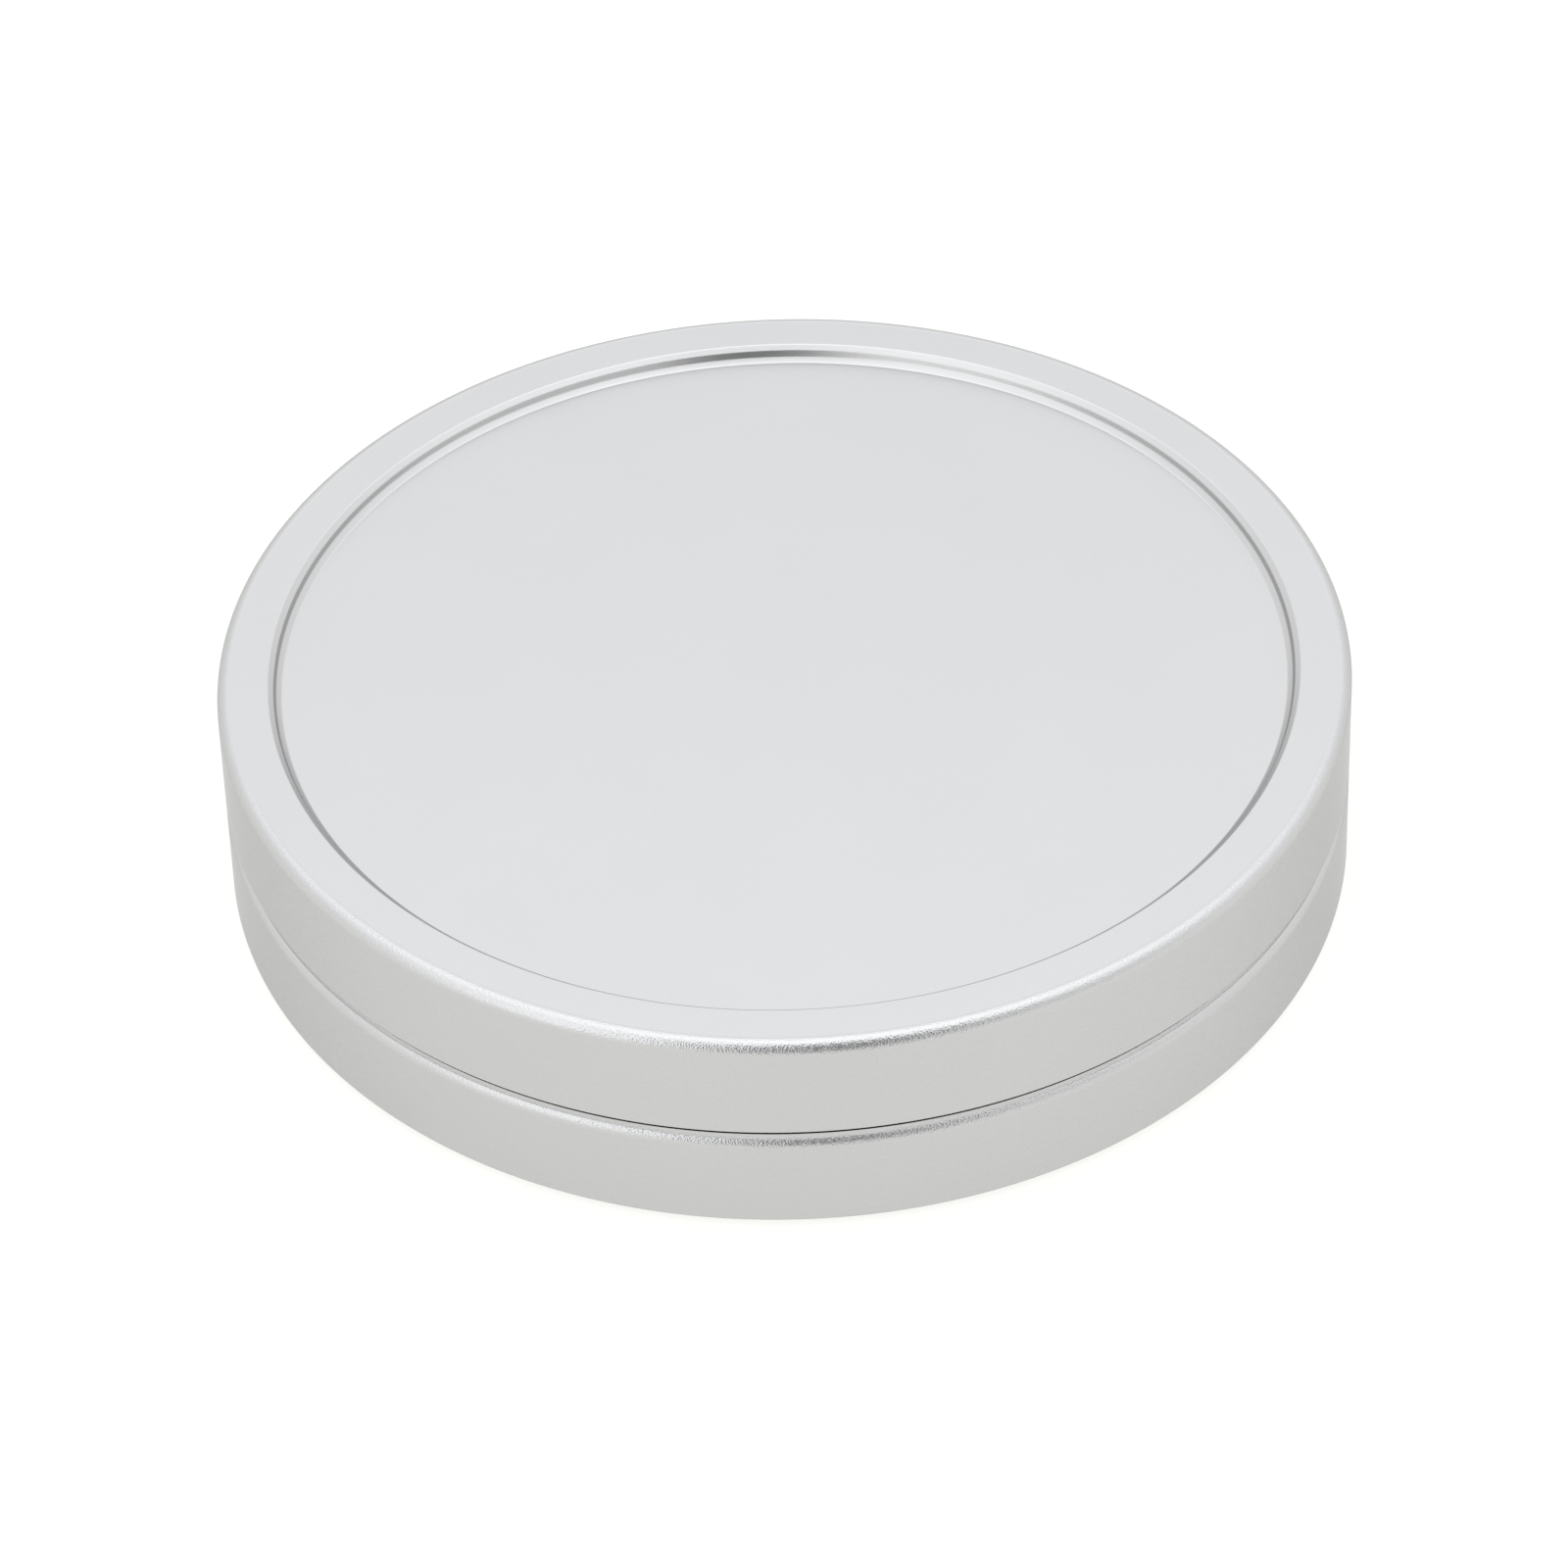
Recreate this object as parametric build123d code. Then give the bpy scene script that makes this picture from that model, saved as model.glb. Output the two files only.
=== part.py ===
from build123d import *
from math import radians, tan
import os

# Low two-disc banding wheel for small pots and figures: a recessed wheel head turns on one ball
# bearing that is held in the base. Millimetres, +Z up, with the origin on the spindle's axis, on
# the surface that the feet stand on.

# The two discs
disc_radius = 57.5
base_height = 10.85  # up to the shoulder
land_height = 0.4  # raised land inside the shoulder, close under the head
land_radius = 57.05
seam_gap = 0.55  # open gap between the land and the turning head
head_height = 11.4
web_thickness = 3.0  # the flat plate of each disc
edge_fillet = 1.25  # upper outer edge of both discs
head_edge_break = 0.15  # lower outer edge of the head, left nearly sharp
base_edge_break = 0.3  # lower outer edge of the base
pocket_fillet = 1.0  # inside corners left by the turning tool
head_pocket_radius = 53.0
base_pocket_radius = 52.5

# Lip on the base, inside the head's wall, that keeps clay and water from the bearing
dust_lip_radius = 51.8
dust_lip_thickness = 1.8
dust_lip_height = 2.6
dust_lip_edge = 0.4

# The shallow recess that the work stands in: a steep wall between two chamfers
recess_rim_radius = 52.3
recess_floor_radius = 51.0
recess_depth = 1.5
recess_chamfer_width = 0.55
recess_chamfer_height = 0.47
recess_fillet = 0.25  # softens the four corners of the chamfers

# The rubber feet
foot_count = 4
foot_radius = 6.0
foot_stand = 0.8  # how far a foot holds the base off the surface
foot_sunk = 0.8  # how deep it sits in its counterbore
foot_pitch_radius = 46.0
foot_edge = 0.4
foot_clearance = 0.1

# The bearing: 17 x 35 x 10 mm, deep groove, ten balls, two shields
bearing_bottom = 7.3
bearing_width = 10.0
bearing_bore_radius = 8.5
bearing_outer_radius = 17.5
bearing_chamfer = 0.3
ball_count = 10
ball_radius = 2.381
ball_pitch_radius = 13.0
ball_clearance = 0.05
groove_radius = 2.476
inner_land_radius = 11.45
outer_land_radius = 14.75
shield_seat_radius = 15.9
shield_seat_depth = 0.9
shield_thickness = 0.3
shield_inset = 0.35  # from the bearing's face to the shield
shield_inner_radius = 11.8
cage_inner_radius = 11.9
cage_outer_radius = 14.3
cage_sheet = 0.5
cage_ball_clearance = 0.15
rivet_shank_radius = 0.44
rivet_hole_radius = 0.46
rivet_head_radius = 0.75
rivet_head_height = 0.3

# Housing and spindle
seat_clearance = 0.01  # of the bearing's rings in the housing and on the spindle
hub_radius = 22.5
lip_height = 1.0
lip_radius = 15.5
shoulder_radius = 10.6
spindle_set_back = 0.2  # the spindle ends short, so the retainer grips the inner ring
retainer_radius = 11.0
retainer_thickness = 3.6
retainer_edge = 0.4

# The clamp ring under the bearing
clamp_radius = 22.5
clamp_thickness = 1.6
clamp_screw_pitch_radius = 20.0
clamp_edge = 0.2

# The bottom cover
cover_radius = 54.1
cover_rebate_radius = 54.3
cover_thickness = 2.0
cover_edge = 0.25
boss_radius = 4.0
cover_screw_pitch_radius = 47.0
screw_count = 4

# Screws
m3_radius = 1.5
m3_clearance_radius = 1.65
m3_button_head_radius = 2.85
m3_button_head_height = 1.65
m3_button_fillet = 0.9
m3_button_length = 6.0
m3_countersunk_head_radius = 3.0
m3_countersunk_length = 8.0
m3_socket_flats = 2.0
m3_socket_depth = 1.1
m6_radius = 3.0
m6_clearance_radius = 3.2
m6_head_radius = 6.0
m6_length = 12.0
m6_socket_flats = 4.0
m6_socket_depth = 2.0
screw_tip = 0.4
thread_clearance = 0.02
countersink_clearance = 0.1
hole_extra_depth = 1.0  # each tapped hole is drilled this much past its screw
drill_point_angle = 118.0

# Heights that follow
base_bottom = foot_stand
base_top = base_bottom + base_height
land_top = base_top + land_height
head_bottom = land_top + seam_gap
head_top = head_bottom + head_height
recess_floor = head_top - recess_depth
head_web_bottom = recess_floor - web_thickness
base_web_bottom = base_top - web_thickness
dust_lip_top = base_top + dust_lip_height
bearing_top = bearing_bottom + bearing_width
bearing_middle = bearing_bottom + bearing_width / 2
hub_top = bearing_top + lip_height
spindle_bottom = bearing_bottom + spindle_set_back
retainer_bottom = bearing_bottom - retainer_thickness
clamp_bottom = bearing_bottom - clamp_thickness
cover_top = base_bottom + cover_thickness
diagonal_angle = 45.0  # feet and clamp screws stand between the cover screws

same_place = 0.001


def lathe(*outline):
    """A piece turned about the spindle axis from the (radius, height) corners of its outline."""
    return revolve(make_face(Plane.XZ * Polyline(*outline, close=True)), Axis.Z)


def rod(radius, bottom, top):
    """An upright round bar on the spindle axis."""
    upright = (Align.CENTER, Align.CENTER, Align.MIN)
    return Pos(0, 0, bottom) * Cylinder(radius, top - bottom, align=upright)


def rim(piece, radius, height):
    """The round edges of a turned piece at one radius and height."""
    return [
        edge
        for edge in piece.edges().filter_by(GeomType.CIRCLE)
        if abs(edge.radius - radius) < same_place and abs(edge.arc_center.Z - height) < same_place
    ]


def around(piece, pitch_radius, count, start=0.0):
    """Copies of a piece on a circle about the spindle axis, as separate solids."""
    return [place * piece for place in PolarLocations(pitch_radius, count, start)]


def group(pieces):
    """Separate solids kept in one node."""
    return Compound(children=pieces)


def drilled(radius, bottom, top):
    """The cutter for a blind hole from below, with the cone that a drill leaves at its end."""
    cone_height = radius / tan(radians(drill_point_angle / 2))
    return lathe((0, bottom), (radius, bottom), (radius, top), (0, top + cone_height))


def hex_socket(flats, depth):
    """The cutter for a hexagon socket that starts at height zero and goes up."""
    return extrude(RegularPolygon(flats / 2, 6, major_radius=False), depth)


def tip_outline(radius, length):
    """Outline corners of a screw's shank end, with its start chamfer."""
    return (radius, length - screw_tip), (radius - screw_tip, length), (0, length)


def countersunk_screw(radius, head_radius, length, flats, socket_depth):
    """Countersunk socket screw pointing up, with the flat of its head at height zero."""
    head = head_radius - radius
    shank = radius - thread_clearance
    blank = lathe((0, 0), (head_radius, 0), (shank, head + thread_clearance), *tip_outline(shank, length))
    return blank - hex_socket(flats, socket_depth)


def button_screw():
    """M3 button-head socket screw pointing up, with its bearing face at height zero."""
    shank = m3_radius - thread_clearance
    crown = -m3_button_head_height
    blank = lathe(
        (0, crown),
        (m3_button_head_radius, crown),
        (m3_button_head_radius, 0),
        (shank, 0),
        *tip_outline(shank, m3_button_length),
    )
    blank = fillet(rim(blank, m3_button_head_radius, crown), m3_button_fillet)
    return blank - Pos(0, 0, crown) * hex_socket(m3_socket_flats, m3_socket_depth)


def countersink(radius, hole_radius, bottom, top):
    """The cutter for a countersunk hole that opens downwards at height bottom."""
    cone_top = bottom + radius - hole_radius
    return lathe((0, bottom), (radius, bottom), (hole_radius, cone_top), (hole_radius, top), (0, top))


def head_disc():
    """The wheel head: recessed top, hollow underside, shoulder and spindle in one turned piece."""
    spindle_radius = bearing_bore_radius - seat_clearance
    recess_wall = [
        (recess_rim_radius, head_top),
        (recess_rim_radius - recess_chamfer_width, head_top - recess_chamfer_height),
        (recess_floor_radius + recess_chamfer_width, recess_floor + recess_chamfer_height),
        (recess_floor_radius, recess_floor),
    ]
    disc = lathe(
        (0, spindle_bottom),
        (spindle_radius, spindle_bottom),
        (spindle_radius, bearing_top),
        (shoulder_radius, bearing_top),
        (shoulder_radius, head_web_bottom),
        (head_pocket_radius, head_web_bottom),
        (head_pocket_radius, head_bottom),
        (disc_radius, head_bottom),
        (disc_radius, head_top),
        *recess_wall,
        (0, recess_floor),
    )
    disc = fillet(rim(disc, disc_radius, head_top), edge_fillet)
    disc = fillet([edge for corner in recess_wall for edge in rim(disc, *corner)], recess_fillet)
    disc = fillet(rim(disc, head_pocket_radius, head_web_bottom), pocket_fillet)
    disc = chamfer(rim(disc, disc_radius, head_bottom), head_edge_break)
    disc = chamfer(rim(disc, spindle_radius, spindle_bottom), bearing_chamfer)
    thread_top = retainer_bottom + m6_length + hole_extra_depth
    return disc - drilled(m6_radius, spindle_bottom, thread_top)


def base_disc():
    """The base: web, wall, raised land and dust lip, the bearing housing, and bosses for the cover."""
    housing_radius = bearing_outer_radius + seat_clearance
    disc = lathe(
        (housing_radius, bearing_bottom),
        (hub_radius, bearing_bottom),
        (hub_radius, base_web_bottom),
        (base_pocket_radius, base_web_bottom),
        (base_pocket_radius, cover_top),
        (cover_rebate_radius, cover_top),
        (cover_rebate_radius, base_bottom),
        (disc_radius, base_bottom),
        (disc_radius, base_top),
        (dust_lip_radius, base_top),
        (dust_lip_radius, dust_lip_top),
        (dust_lip_radius - dust_lip_thickness, dust_lip_top),
        (dust_lip_radius - dust_lip_thickness, base_top),
        (hub_radius, base_top),
        (hub_radius, hub_top),
        (lip_radius, hub_top),
        (lip_radius, bearing_top),
        (housing_radius, bearing_top),
    )
    disc = fillet(rim(disc, disc_radius, base_top), edge_fillet)
    inside_corners = rim(disc, base_pocket_radius, base_web_bottom) + rim(disc, hub_radius, base_top)
    disc = fillet(inside_corners, pocket_fillet)
    disc = chamfer(rim(disc, disc_radius, base_bottom), base_edge_break)
    disc = chamfer(rim(disc, housing_radius, bearing_bottom), bearing_chamfer)
    disc = chamfer(rim(disc, hub_radius, hub_top), bearing_chamfer)
    disc = chamfer(rim(disc, dust_lip_radius, dust_lip_top), dust_lip_edge)
    land_inside = dust_lip_radius - dust_lip_thickness / 2
    land_root = base_top - edge_fillet
    disc += rod(land_radius, land_root, land_top) - rod(land_inside, land_root, land_top)
    boss = rod(boss_radius, cover_top, base_web_bottom + pocket_fillet)
    disc += around(boss, cover_screw_pitch_radius, screw_count)
    cover_thread_top = base_bottom + m3_countersunk_length + hole_extra_depth
    disc -= around(drilled(m3_radius, cover_top, cover_thread_top), cover_screw_pitch_radius, screw_count)
    clamp_thread_top = clamp_bottom + m3_button_length + hole_extra_depth
    clamp_thread = drilled(m3_radius, bearing_bottom, clamp_thread_top)
    return disc - around(clamp_thread, clamp_screw_pitch_radius, screw_count, diagonal_angle)


def ball_groove(race_radius, side):
    """The ring-shaped cutter for a ball race: side is +1 for the inner ring and -1 for the outer."""
    centre = race_radius + side * groove_radius
    return revolve(Plane.XZ * Pos(centre, bearing_middle) * Circle(groove_radius), Axis.Z)


def bearing_inner_ring():
    """Inner ring of the bearing, with its ball race."""
    ring = rod(inner_land_radius, bearing_bottom, bearing_top)
    ring -= rod(bearing_bore_radius, bearing_bottom, bearing_top)
    for face in (bearing_bottom, bearing_top):
        ring = chamfer(rim(ring, bearing_bore_radius, face), bearing_chamfer)
    return ring - ball_groove(ball_pitch_radius - ball_radius - ball_clearance, 1)


def bearing_outer_ring():
    """Outer ring of the bearing, with its ball race and a seat for a shield at each face."""
    ring = rod(bearing_outer_radius, bearing_bottom, bearing_top)
    ring -= rod(outer_land_radius, bearing_bottom, bearing_top)
    for face in (bearing_bottom, bearing_top):
        ring = chamfer(rim(ring, bearing_outer_radius, face), bearing_chamfer)
    ring -= rod(shield_seat_radius, bearing_bottom, bearing_bottom + shield_seat_depth)
    ring -= rod(shield_seat_radius, bearing_top - shield_seat_depth, bearing_top)
    return ring - ball_groove(ball_pitch_radius + ball_radius + ball_clearance, -1)


def bearing_shield(side):
    """Dished sheet shield: side is +1 for the upper face and -1 for the lower."""
    face = bearing_width / 2
    outside = face - shield_inset
    inside = outside - shield_thickness
    seat = face - shield_seat_depth
    seat_radius = shield_seat_radius - seat_clearance
    flange_radius = seat_radius - shield_thickness
    dish = [
        (seat_radius, seat),
        (seat_radius, outside),
        (shield_inner_radius, outside),
        (shield_inner_radius, inside),
        (flange_radius, inside),
        (flange_radius, seat),
    ]
    return lathe(*[(radius, bearing_middle + side * height) for radius, height in dish])


def ball(number):
    """One steel ball in its place round the race."""
    place = PolarLocations(ball_pitch_radius, ball_count).locations[number]
    return Pos(0, 0, bearing_middle) * place * Sphere(ball_radius)


def bearing_cage_half(side):
    """Half of the ribbon cage: a flat annulus that bulges round each ball."""
    pocket_radius = ball_radius + cage_ball_clearance
    bulge_radius = pocket_radius + cage_sheet
    ends = sorted((0, side * (bulge_radius + cage_sheet)))
    ribbon_ends = sorted((0, side * cage_sheet))
    annulus = rod(cage_outer_radius, *ends) - rod(cage_inner_radius, *ends)
    bulges = around(Sphere(bulge_radius), ball_pitch_radius, ball_count)
    half = annulus & (rod(cage_outer_radius, *ribbon_ends) + bulges)
    half -= around(Sphere(pocket_radius), ball_pitch_radius, ball_count)
    half -= around(rod(rivet_hole_radius, *ends), ball_pitch_radius, ball_count, 180 / ball_count)
    return Pos(0, 0, bearing_middle) * half


def cage_rivets():
    """The rivets between the balls that hold the two cage halves together."""
    top = cage_sheet + rivet_head_height
    rivet = rod(rivet_shank_radius, -top, top)
    rivet += rod(rivet_head_radius, cage_sheet, top) + rod(rivet_head_radius, -top, -cage_sheet)
    for face in (-top, top):
        rivet = chamfer(rim(rivet, rivet_head_radius, face), rivet_head_height / 2)
    rivets = around(rivet, ball_pitch_radius, ball_count, 180 / ball_count)
    return group([Pos(0, 0, bearing_middle) * one for one in rivets])


def bearing_clamp_ring():
    """Flat ring that holds the bearing's outer ring against the lip of the housing."""
    ring = rod(clamp_radius, clamp_bottom, bearing_bottom) - rod(lip_radius, clamp_bottom, bearing_bottom)
    ring = chamfer(rim(ring, clamp_radius, clamp_bottom), clamp_edge)
    hole = rod(m3_clearance_radius, clamp_bottom, bearing_bottom)
    return ring - around(hole, clamp_screw_pitch_radius, screw_count, diagonal_angle)


def clamp_ring_screws():
    """Button-head screws of the clamp ring."""
    placed = Pos(0, 0, clamp_bottom) * button_screw()
    return group(around(placed, clamp_screw_pitch_radius, screw_count, diagonal_angle))


def spindle_retainer():
    """Thick countersunk washer under the spindle, which grips the bearing's inner ring."""
    washer = rod(retainer_radius, retainer_bottom, bearing_bottom)
    washer = chamfer(rim(washer, retainer_radius, retainer_bottom), retainer_edge)
    seat_radius = m6_head_radius + countersink_clearance
    return washer - countersink(seat_radius, m6_clearance_radius, retainer_bottom, bearing_bottom)


def spindle_screw():
    """The M6 countersunk screw up through the retainer into the spindle."""
    screw = countersunk_screw(m6_radius, m6_head_radius, m6_length, m6_socket_flats, m6_socket_depth)
    return Pos(0, 0, retainer_bottom) * screw


def bottom_cover():
    """Round plate let into the base from below, with countersunk holes and sunk seats for the feet."""
    plate = rod(cover_radius, base_bottom, cover_top)
    plate = chamfer(rim(plate, cover_radius, base_bottom), cover_edge)
    seat_radius = m3_countersunk_head_radius + countersink_clearance
    screw_hole = countersink(seat_radius, m3_clearance_radius, base_bottom, cover_top)
    plate -= around(screw_hole, cover_screw_pitch_radius, screw_count)
    foot_seat = rod(foot_radius + foot_clearance, base_bottom, base_bottom + foot_sunk)
    return plate - around(foot_seat, foot_pitch_radius, foot_count, diagonal_angle)


def cover_screws():
    """Countersunk screws of the bottom cover."""
    screw = countersunk_screw(
        m3_radius, m3_countersunk_head_radius, m3_countersunk_length, m3_socket_flats, m3_socket_depth
    )
    return group(around(Pos(0, 0, base_bottom) * screw, cover_screw_pitch_radius, screw_count))


def foot(number):
    """One round rubber foot, glued into its seat in the cover."""
    place = PolarLocations(foot_pitch_radius, foot_count, diagonal_angle).locations[number]
    pad = rod(foot_radius, 0, foot_stand + foot_sunk)
    pad = fillet(rim(pad, foot_radius, 0), foot_edge)
    return place * pad


def make_pieces():
    """Every piece by its node name."""
    pieces = {
        "head_disc": head_disc(),
        "base_disc": base_disc(),
        "bearing_inner_ring": bearing_inner_ring(),
        "bearing_outer_ring": bearing_outer_ring(),
        "bearing_shield_lower": bearing_shield(-1),
        "bearing_shield_upper": bearing_shield(1),
        "bearing_cage_lower": bearing_cage_half(-1),
        "bearing_cage_upper": bearing_cage_half(1),
        "cage_rivets": cage_rivets(),
        "bearing_clamp_ring": bearing_clamp_ring(),
        "clamp_ring_screws": clamp_ring_screws(),
        "spindle_retainer": spindle_retainer(),
        "spindle_screw": spindle_screw(),
        "bottom_cover": bottom_cover(),
        "cover_screws": cover_screws(),
    }
    for number in range(ball_count):
        pieces[f"ball_{number + 1:02d}"] = ball(number)
    for number in range(foot_count):
        pieces[f"foot_{number + 1}"] = foot(number)
    return pieces


os.makedirs("parts", exist_ok=True)
for name, piece in make_pieces().items():
    export_step(piece, f"parts/{name}.step")
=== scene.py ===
from math import asin, atan2, cos, hypot, pi, radians, sin, tan

import bmesh
import bpy
from bpy.props import FloatProperty, FloatVectorProperty, IntProperty, PointerProperty
from mathutils import Matrix, Vector


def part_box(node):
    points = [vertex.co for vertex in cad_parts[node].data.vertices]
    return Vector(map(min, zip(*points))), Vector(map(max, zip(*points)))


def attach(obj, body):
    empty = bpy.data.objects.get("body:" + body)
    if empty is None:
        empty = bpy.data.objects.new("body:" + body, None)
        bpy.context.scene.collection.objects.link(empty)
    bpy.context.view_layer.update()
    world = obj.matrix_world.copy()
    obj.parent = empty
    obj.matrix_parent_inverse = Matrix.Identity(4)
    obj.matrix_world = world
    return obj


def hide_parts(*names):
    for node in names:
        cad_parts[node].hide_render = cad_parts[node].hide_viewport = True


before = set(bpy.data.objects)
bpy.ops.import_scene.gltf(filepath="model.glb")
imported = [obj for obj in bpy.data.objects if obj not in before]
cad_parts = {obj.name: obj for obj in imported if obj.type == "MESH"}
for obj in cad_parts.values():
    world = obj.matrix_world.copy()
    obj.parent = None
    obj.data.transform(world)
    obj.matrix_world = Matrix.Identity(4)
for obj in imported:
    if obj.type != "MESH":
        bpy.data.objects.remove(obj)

bl_info = {
    "name": "Banding Wheel",
    "version": (1, 0, 0),
    "blender": (4, 5, 0),
    "location": "View3D > Sidebar > Banding Wheel",
    "description": "Builds a low aluminium banding wheel piece by piece around its bearing",
    "category": "Object",
}

MM = 0.001
CLOSE = 0.02 * MM  # two heights or radii nearer than this are the same
DOUBLED = 0.0005 * MM  # points nearer than this are merged
SHARP = radians(35)  # corners sharper than this stay sharp
DRILL_ANGLE = radians(59)  # half the angle of a drill's point
OVERSHOOT = 0.5 * MM  # how far a cutting tool stands out of the metal
SUNK = 0.3 * MM  # how far a screw's shank starts inside its head
HEAD_RIM = 0.1 * MM  # the straight edge of a countersunk head
HOLE_FACETS, SCREW_FACETS, FOOT_FACETS, THREAD_FACETS = 48, 64, 96, 36
SHOULDER_STEPS = 12  # slopes that make up the base's round shoulder
THREAD_DEPTH = 0.61  # of the thread's pitch
SOCKET_TURN = 0.37  # radians from one screw's socket to the next, as nobody lines them up
MIDDLE = (0.3, 0.7)  # the stretch of a noise pattern that holds nearly all of it


def length(name, description, default):
    """A size property in metres."""
    return FloatProperty(name=name, description=description, default=default, min=0.0, precision=5,
                         unit="LENGTH", subtype="DISTANCE")


def colour(name, description, default):
    """A colour property."""
    return FloatVectorProperty(name=name, description=description, default=default, size=3,
                               min=0.0, max=1.0, subtype="COLOR")


def share(name, description, default, top=1.0):
    """A plain number property without a unit."""
    return FloatProperty(name=name, description=description, default=default, min=0.0, max=top,
                         subtype="FACTOR")


def top_of(node):
    """The highest point of a CAD node."""
    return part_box(node)[1].z


def bottom_of(node):
    """The lowest point of a CAD node."""
    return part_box(node)[0].z


def radius_of(node):
    """The outer radius of a round CAD node on the spindle's axis."""
    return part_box(node)[1].x


class DiscSizes(bpy.types.PropertyGroup):
    """Sizes of the wheel head and the base."""

    facets: IntProperty(name="Facets", description="Sides of each turned disc", default=384, min=32)
    radius: length("Disc radius", "Outer radius of the head and the base", radius_of("head_disc"))
    head_height: length("Head height", "From the head's lower edge to its rim", 11.4 * MM)
    web: length("Web", "Thickness of each disc's flat plate", 3.0 * MM)
    edge_fillet: length("Edge fillet", "Rounding of each disc's upper outer edge", 1.25 * MM)
    head_edge_break: length("Head edge break", "Rounding of the head's lower edge", 0.15 * MM)
    base_edge_break: length("Base edge break", "Rounding of the base's lower edge", 0.3 * MM)
    pocket_fillet: length("Pocket fillet", "Inside corners of the pockets", 1.0 * MM)
    recess_rim_radius: length("Recess rim radius", "Inner edge of the rim", 52.3 * MM)
    recess_floor_radius: length("Recess floor radius", "Edge of the recess floor", 51.0 * MM)
    recess_depth: length("Recess depth", "From the rim down to the floor", 1.5 * MM)
    recess_chamfer_width: length("Recess chamfer width", "Across a chamfer of the recess wall", 0.55 * MM)
    recess_chamfer_height: length("Recess chamfer height", "Up a chamfer of the recess wall", 0.47 * MM)
    recess_softening: length("Recess softening", "Bevel of the chamfers' corners", 0.08 * MM)
    head_pocket_radius: length("Head pocket radius", "Hollow under the head", 53.0 * MM)
    shoulder_radius: length("Shoulder radius", "Step that the bearing's inner ring meets", 10.6 * MM)
    spindle_radius: length("Spindle radius", "Stub inside the bearing", 8.49 * MM)
    small_chamfer: length("Small chamfer", "Edges of the spindle and the housing", 0.3 * MM)
    base_height: length("Base height", "From the base's lower edge to its shoulder", 10.85 * MM)
    land_height: length("Land height", "Raised land inside the base's shoulder", 0.4 * MM)
    land_radius: length("Land radius", "Outside of the raised land", 57.05 * MM)
    base_pocket_radius: length("Base pocket radius", "Hollow under the base", 52.5 * MM)
    dust_lip_radius: length("Dust lip radius", "Outside of the lip inside the head's wall", 51.8 * MM)
    dust_lip_thickness: length("Dust lip thickness", "Wall of the dust lip", 1.8 * MM)
    dust_lip_height: length("Dust lip height", "Above the base's top face", 2.6 * MM)
    dust_lip_edge: length("Dust lip edge", "Chamfer of the dust lip", 0.4 * MM)
    hub_radius: length("Hub radius", "Outside of the bearing housing", radius_of("bearing_clamp_ring"))
    lip_radius: length("Lip radius", "Opening of the housing's lip", 15.5 * MM)
    lip_height: length("Lip height", "Above the bearing", 1.0 * MM)
    housing_radius: length("Housing radius", "Bore that holds the bearing", 17.51 * MM)


class CoverSizes(bpy.types.PropertyGroup):
    """Sizes of the bottom cover, its screws and the feet."""

    edge: length("Cover edge", "Rounding of the cover's lower edge", 0.25 * MM)
    rebate_radius: length("Rebate radius", "Step in the base that takes the cover", 54.3 * MM)
    boss_radius: length("Boss radius", "Screw boss inside the base", 4.0 * MM)
    screw_circle: length("Screw circle", "Radius of the circle of cover screws", 47.0 * MM)
    clamp_circle: length("Clamp circle", "Radius of the circle of clamp ring screws", 20.0 * MM)
    foot_circle: length("Foot circle", "Radius of the circle of feet", 46.0 * MM)
    foot_radius: length("Foot radius", "Radius of a rubber foot", 6.0 * MM)
    foot_edge: length("Foot edge", "Rounding of a foot's lower edge", 0.4 * MM)
    dimple_radius: length("Dimple radius", "Moulding dimple under a foot", 0.96 * MM)
    dimple_depth: length("Dimple depth", "Depth of the moulding dimple", 0.15 * MM)
    dimple_edge: length("Dimple edge", "Rounding of the moulding dimple", 0.06 * MM)
    foot_sunk: length("Foot seat depth", "How deep a foot sits in the cover", 0.8 * MM)
    fit_gap: length("Fit gap", "Gap round a foot or a screw head", 0.1 * MM)
    count: IntProperty(name="Count", description="Feet, and screws of each kind", default=4, min=3)


class ScrewSizes(bpy.types.PropertyGroup):
    """Sizes of the screws."""

    small_radius: length("M3 radius", "Thread of the small screws", 1.48 * MM)
    small_hole: length("M3 hole", "Tapped hole of the small screws", 1.5 * MM)
    small_clearance: length("M3 clearance hole", "Plain hole for the small screws", 1.65 * MM)
    small_pitch: length("M3 pitch", "Thread pitch of the small screws", 0.5 * MM)
    small_head: length("M3 countersunk head", "Head radius of a cover screw", 3.0 * MM)
    small_flats: length("M3 socket", "Across the flats of a small screw's socket", 2.0 * MM)
    small_socket: length("M3 socket depth", "Depth of a small screw's socket", 1.1 * MM)
    button_head: length("Button head", "Head radius of a clamp ring screw", 2.85 * MM)
    button_fillet: length("Button fillet", "Rounding of a button head", 0.9 * MM)
    large_radius: length("M6 radius", "Thread of the spindle screw", 2.98 * MM)
    large_hole: length("M6 hole", "Tapped hole in the spindle", 3.0 * MM)
    large_pitch: length("M6 pitch", "Thread pitch of the spindle screw", 1.0 * MM)
    large_head: length("M6 head", "Head radius of the spindle screw", 6.0 * MM)
    large_flats: length("M6 socket", "Across the flats of the spindle screw's socket", 4.0 * MM)
    large_socket: length("M6 socket depth", "Depth of the spindle screw's socket", 2.0 * MM)
    over_drill: length("Over-drill", "How far a hole goes past its screw", 1.0 * MM)


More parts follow.
